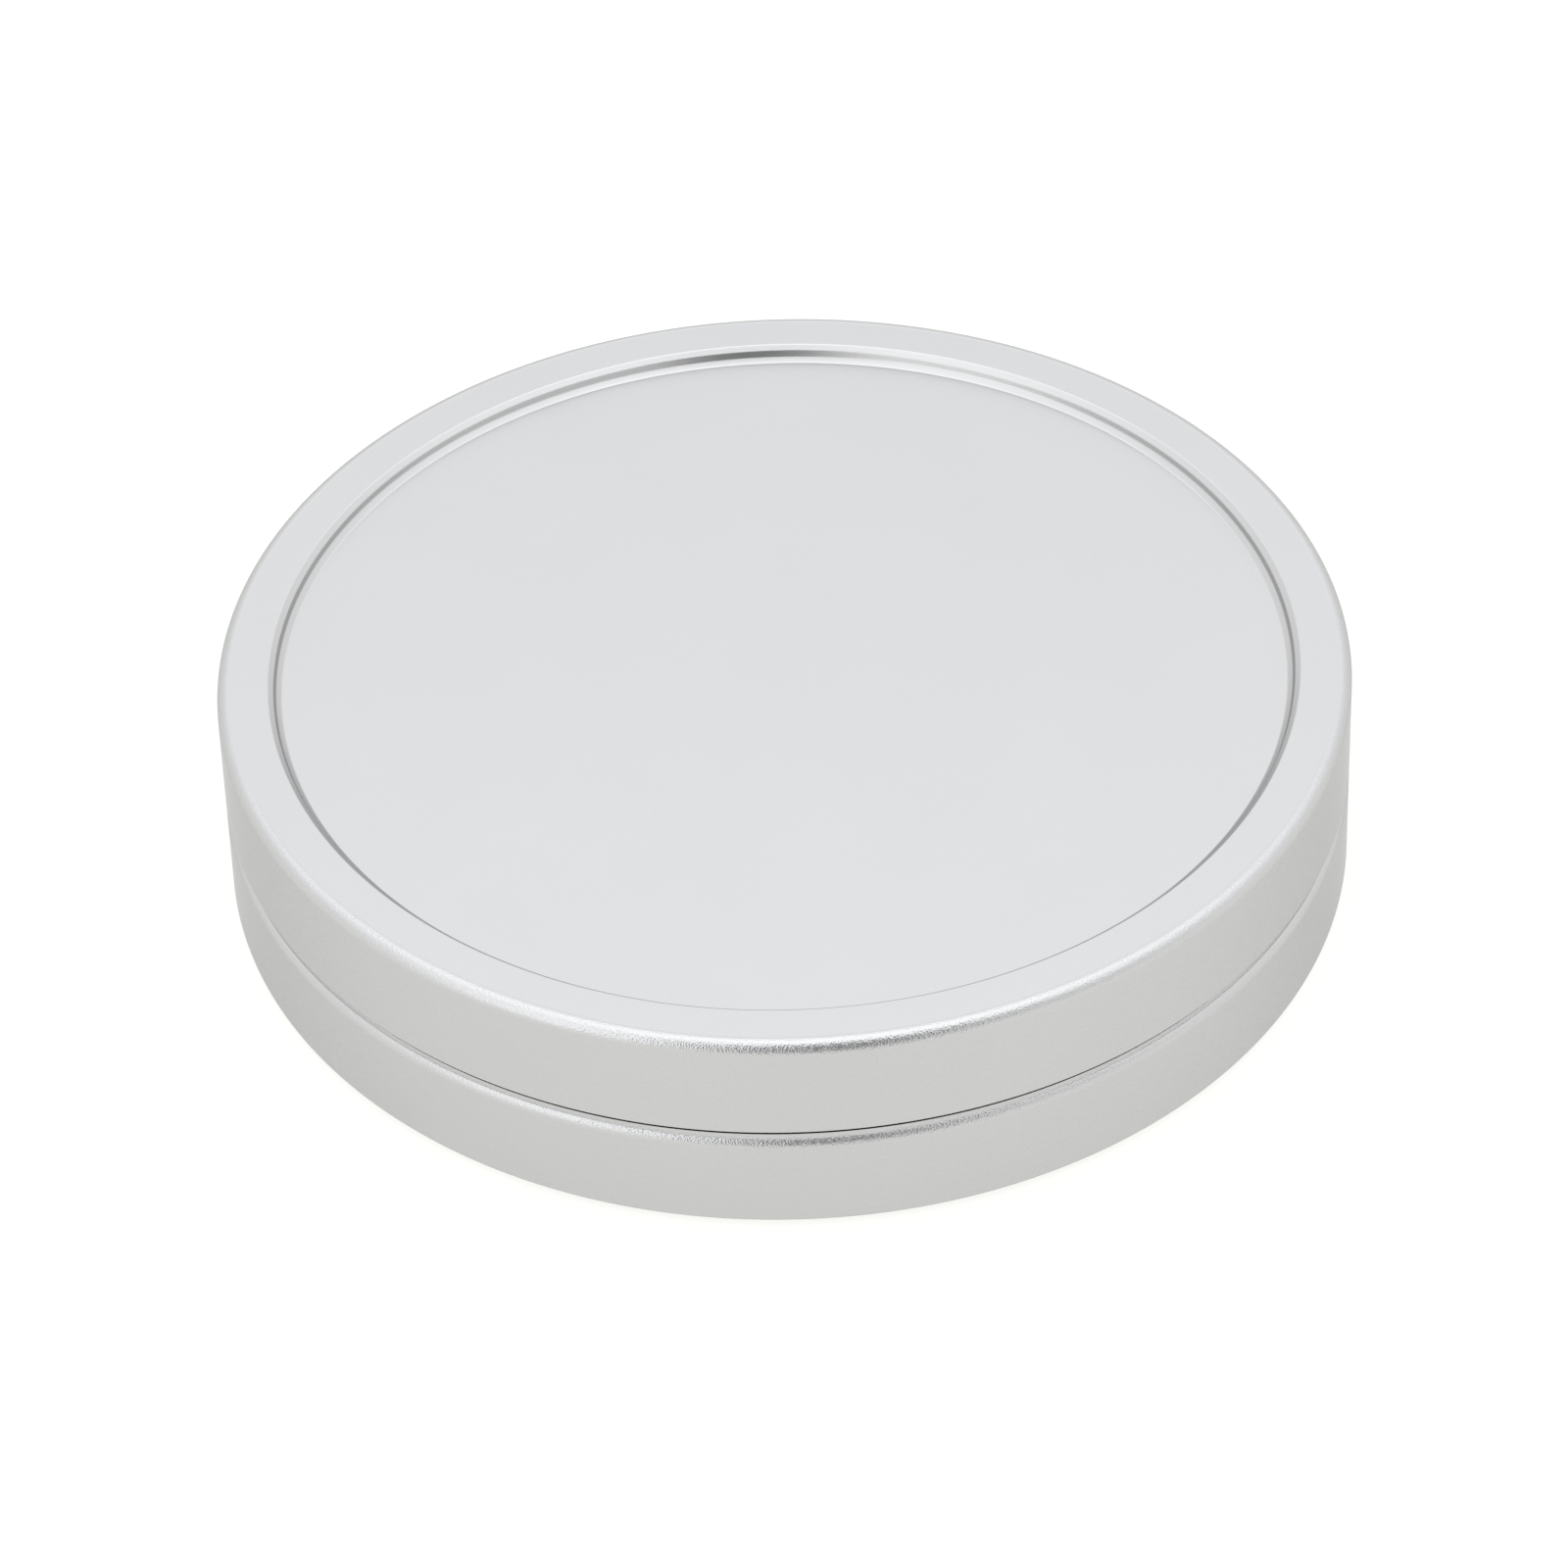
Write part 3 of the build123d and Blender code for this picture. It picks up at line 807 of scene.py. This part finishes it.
def threaded_shank(name, radius, pitch, bottom, top):
    """A screw's shank with a real helical thread, cut square at both ends."""
    root = radius - THREAD_DEPTH * pitch
    deselect()
    bpy.ops.mesh.primitive_circle_add(vertices=3, radius=radius, location=(0, 0, 0))
    shank = settle(bpy.context.object, name)
    edit(shank, "VERT")
    mesh = bmesh.from_edit_mesh(shank.data)
    mesh.verts.ensure_lookup_table()
    bmesh.ops.delete(mesh, geom=mesh.verts[1:], context="VERTS")
    mesh.verts.ensure_lookup_table()
    start = mesh.verts[0]
    start.co = (root, 0, bottom - 2 * pitch)
    start.select_set(True)
    bmesh.update_edit_mesh(shank.data)
    turns = int((top - bottom) / pitch) + 4  # two to spare at each end
    crest, flank, valley = pitch / 8, pitch * 5 / 16, pitch / 4
    for out, up in [(radius - root, flank), (0, crest), (root - radius, flank), (0, valley)] * turns:
        bpy.ops.mesh.extrude_vertices_move(TRANSFORM_OT_translate={"value": (out, 0, up)})
    bpy.ops.object.mode_set(mode="OBJECT")
    winding = shank.modifiers.new("Thread", "SCREW")
    winding.angle = 2 * pi
    winding.screw_offset = pitch
    winding.steps = winding.render_steps = THREAD_FACETS
    winding.use_merge_vertices = True
    bpy.ops.object.modifier_apply(modifier=winding.name)
    clean(shank)
    edit(shank)
    for height, normal in ((top, 1), (bottom, -1)):
        bpy.ops.mesh.select_all(action="SELECT")
        bpy.ops.mesh.bisect(plane_co=(0, 0, height), plane_no=(0, 0, normal), use_fill=True,
                            clear_outer=True)
    bpy.ops.object.mode_set(mode="OBJECT")
    clean(shank)
    return shank


def hexagon(name, flats, bottom, top):
    """A six-sided bar, for a screw's socket."""
    return bar(name, flats / 2 / cos(pi / 6), bottom, top, 6)


def countersunk_screw(name, head, radius, pitch, bottom, top, flats, socket):
    """A countersunk socket screw that points up, with its thread."""
    blank = bar(name, head, bottom, bottom + HEAD_RIM, SCREW_FACETS)
    core = radius - 0.7 * pitch  # a little inside the thread's root
    turn_slopes(blank, bottom + HEAD_RIM, head, [(core, bottom + head - core)])
    thread_start = bottom + head - radius - SUNK
    combine(blank, threaded_shank("shank", radius, pitch, thread_start, top), "UNION")
    combine(blank, hexagon("socket", flats, bottom - socket, bottom + socket), "DIFFERENCE")
    return blank


class MakeScrews(bpy.types.Operator):
    """Make the cover, clamp ring and spindle screws, with sockets and threads"""

    bl_idname = "wheel.make_screws"
    bl_label = "Screws"

    def execute(self, context):
        scene = context.scene
        size, cover = scene.wheel_screws, scene.wheel_cover
        material = screw_steel(scene.wheel_finishes)
        low, high = bottom_of("cover_screws"), top_of("cover_screws")
        first = countersunk_screw("cover_screw", size.small_head, size.small_radius, size.small_pitch,
                                  low, high, size.small_flats, size.small_socket)
        self.place(first, "cover_screws", cover.screw_circle, 0.0, cover.count, material)
        low, high = bottom_of("clamp_ring_screws"), top_of("clamp_ring_screws")
        seat = bottom_of("bearing_clamp_ring")
        head = bar("clamp_screw", size.button_head, low, seat, SCREW_FACETS)
        round_edges(head, [(low, size.button_head)], size.button_fillet, segments=8)
        shank = threaded_shank("shank", size.small_radius, size.small_pitch, seat - SUNK, high)
        socket = hexagon("socket", size.small_flats, low - size.small_socket, low + size.small_socket)
        combine(head, shank, "UNION")
        combine(head, socket, "DIFFERENCE")
        self.place(head, "clamp_ring_screws", cover.clamp_circle, pi / cover.count, cover.count, material)
        low, high = bottom_of("spindle_screw"), top_of("spindle_screw")
        spindle = countersunk_screw("spindle_bolt", size.large_head, size.large_radius, size.large_pitch,
                                    low, high, size.large_flats, size.large_socket)
        smooth(spindle)
        finish_piece(spindle, "head", ["spindle_screw"], material)
        return {"FINISHED"}

    @staticmethod
    def place(first, node, circle, start, count, material):
        """Copies a screw round its circle."""
        smooth(first)
        for number in range(count):
            turn = start + 2 * pi * number / count
            screw = copy_of(first, f"{first.name}_{number + 1}", turn + SOCKET_TURN * number)
            screw.data.transform(Matrix.Translation((circle * cos(turn), circle * sin(turn), 0)))
            finish_piece(screw, "base", [node], material)
        bpy.data.objects.remove(first)


class FinishBearing(bpy.types.Operator):
    """Give the bearing, the clamp ring and the retainer their steels"""

    bl_idname = "wheel.finish_bearing"
    bl_label = "Bearing Finishes"

    def execute(self, context):
        looks = context.scene.wheel_finishes
        rings, balls = ground_steel(looks), ball_steel(looks)
        sheet, zinc = sheet_steel(looks), zinc_steel(looks)
        kept = {
            "bearing_inner_ring": (rings, "bearing_steel"),
            "bearing_outer_ring": (rings, "bearing_steel"),
            "bearing_cage_lower": (sheet, "pressed_steel"),
            "bearing_cage_upper": (sheet, "pressed_steel"),
            "cage_rivets": (sheet, "pressed_steel"),
            "bearing_shield_lower": (sheet, "pressed_steel"),
            "bearing_shield_upper": (sheet, "pressed_steel"),
            "bearing_clamp_ring": (zinc, "zinc_plated_steel"),
            "spindle_retainer": (zinc, "zinc_plated_steel"),
        }
        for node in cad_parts:
            if node.startswith("ball_"):
                kept[node] = (balls, "ball_steel")
        for node, (material, slot) in kept.items():
            keep_cad_shape(node, material)
        return {"FINISHED"}


# ---------------------------------------------------------------- the studio


def emission(name, value):
    """A plain glowing material for a reflector card."""
    material = bpy.data.materials.new(name)
    material.use_nodes = True
    nodes, links = material.node_tree.nodes, material.node_tree.links
    nodes.remove(nodes["Principled BSDF"])
    glow = nodes.new("ShaderNodeEmission")
    glow.inputs["Color"].default_value = (value, value, value, 1)
    links.new(glow.outputs["Emission"], nodes["Material Output"].inputs["Surface"])
    return material


def toward(azimuth, elevation, distance):
    """A point seen from the wheel's middle: azimuth 0 is in front, and positive to the right."""
    turn, rise = radians(azimuth), radians(elevation)
    flat = distance * cos(rise)
    return Vector((flat * sin(turn), -flat * cos(turn), distance * sin(rise)))


def card(name, azimuth, elevation, distance, width, height, value):
    """A card that only the metal's reflections see."""
    place = toward(azimuth, elevation, distance)
    facing = place.to_track_quat("Z", "Y").to_euler()
    deselect()
    bpy.ops.mesh.primitive_plane_add(size=1, location=place, rotation=facing)
    sheet = bpy.context.object
    sheet.scale = (width, height, 1)
    settle(sheet, name)
    sheet.data.materials.append(emission(name, value))
    sheet.visible_camera = False
    sheet.visible_diffuse = False
    sheet.visible_shadow = False
    sheet.visible_transmission = False


def softbox(name, azimuth, elevation, distance, width, height, radiance):
    """A soft rectangular light that faces the wheel."""
    place = toward(azimuth, elevation, distance)
    facing = place.to_track_quat("Z", "Y").to_euler()
    deselect()
    bpy.ops.object.light_add(type="AREA", location=place, rotation=facing)
    lamp = bpy.context.object
    lamp.name = name
    lamp.data.shape = "RECTANGLE"
    lamp.data.size = width
    lamp.data.size_y = height
    lamp.data.energy = radiance * pi * width * height


def sky(steps):
    """A soft room light, given as (height of the direction, brightness, coolness) steps."""
    world = bpy.data.worlds.new("studio")
    bpy.context.scene.world = world
    world.use_nodes = True
    nodes, links = world.node_tree.nodes, world.node_tree.links
    place = nodes.new("ShaderNodeTexCoord")
    axes = nodes.new("ShaderNodeSeparateXYZ")
    ramp = nodes.new("ShaderNodeValToRGB")
    links.new(place.outputs["Generated"], axes.inputs["Vector"])
    links.new(axes.outputs["Z"], ramp.inputs["Fac"])
    links.new(ramp.outputs["Color"], nodes["Background"].inputs["Color"])
    brightest = max(value for _, value, _ in steps)
    nodes["Background"].inputs["Strength"].default_value = brightest
    ramp.color_ramp.interpolation = "EASE"
    marks = ramp.color_ramp.elements
    while len(marks) < len(steps):
        marks.new(0.5)
    for mark, (position, _, _) in zip(marks, steps):
        mark.position = position
    for mark, (_, value, coolness) in zip(marks, steps):
        level = value / brightest
        mark.color = (level * (1 - coolness), level, level * (1 + coolness), 1)


def pale_floor(look):
    """Matt pale floor with the faintest unevenness, a little lit from within like a light table."""
    surface = Surface("pale_floor")
    tone = look.floor
    return surface.set(
        Base_Color=surface.blend(surface.noise(0.05, detail=3.0), tint(tone, 0.995), tint(tone, 1.005)),
        Roughness=0.9,
        Specular_IOR_Level=0.1,
        Emission_Color=(1.0, 1.0, 0.968, 1.0),
        Emission_Strength=look.floor_glow,
    )


class SetStage(bpy.types.Operator):
    """Lay the pale floor, hang the soft lights and set up the camera"""

    bl_idname = "wheel.set_stage"
    bl_label = "Studio"

    def execute(self, context):
        scene = context.scene
        look = scene.wheel_studio
        scene.view_settings.view_transform = "Standard"
        deselect()
        bpy.ops.mesh.primitive_plane_add(size=40)
        floor = settle(bpy.context.object, "floor")
        floor.data.materials.append(pale_floor(look))
        sky([(0.0, 1.05, -0.008), (0.3, 1.11, -0.004), (0.57, 1.19, 0.010), (0.7, 1.41, 0.012),
             (0.81, 1.46, 0.012), (0.92, 1.56, 0.010)])
        softbox("overhead_softbox", azimuth=180, elevation=86, distance=1.2, width=1.1, height=1.1,
                radiance=0.25)
        softbox("left_softbox", azimuth=-40, elevation=24, distance=0.9, width=0.73, height=0.6,
                radiance=0.45)
        card("camera_shade", azimuth=4.5, elevation=29, distance=0.9, width=0.465, height=1.0, value=0.13)
        card("camera_stand", azimuth=4.5, elevation=4, distance=0.15, width=0.05, height=0.02, value=0.6)
        card("right_flag", azimuth=45, elevation=26, distance=0.95, width=0.62, height=0.75, value=0.92)
        pitch = Matrix.Rotation(pi / 2 - look.camera_pitch, 4, "X")
        turn = pitch @ Matrix.Rotation(look.camera_roll, 4, "Z")
        deselect()
        stand = (-look.camera_left, -look.camera_back, look.camera_up)
        bpy.ops.object.camera_add(location=stand, rotation=turn.to_euler())
        camera = bpy.context.object
        camera.data.lens = look.camera_lens
        camera.data.sensor_width = 36.0
        camera.data.clip_end = 100.0
        scene.camera = camera
        return {"FINISHED"}


STEPS = (MakeHead, MakeBase, MakeCover, MakeFeet, MakeScrews, FinishBearing, SetStage)


class WheelPanel(bpy.types.Panel):
    """Lists the steps that build the wheel, and their sizes"""

    bl_idname = "VIEW3D_PT_banding_wheel"
    bl_label = "Banding Wheel"
    bl_space_type = "VIEW_3D"
    bl_region_type = "UI"
    bl_category = "Banding Wheel"

    def draw(self, context):
        for step in STEPS:
            self.layout.operator(step.bl_idname)
        for group in PROPERTY_GROUPS:
            box = self.layout.box()
            values = getattr(context.scene, group)
            for key in values.bl_rna.properties.keys():
                if key not in ("rna_type", "name"):
                    box.prop(values, key)


def register():
    """Adds the properties, operators and panel."""
    for name, group in PROPERTY_GROUPS.items():
        bpy.utils.register_class(group)
        setattr(bpy.types.Scene, name, PointerProperty(type=group))
    for kind in (*STEPS, WheelPanel):
        bpy.utils.register_class(kind)


def unregister():
    """Removes them again."""
    for kind in reversed((*STEPS, WheelPanel)):
        bpy.utils.unregister_class(kind)
    for name, group in reversed(PROPERTY_GROUPS.items()):
        delattr(bpy.types.Scene, name)
        bpy.utils.unregister_class(group)


def main():
    """Adds the sizes to the scene, then builds the whole wheel and its studio."""
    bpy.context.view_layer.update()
    register()
    for step in STEPS:
        group, name = step.bl_idname.split(".")
        getattr(getattr(bpy.ops, group), name)()


if __name__ == "__main__":
    main()
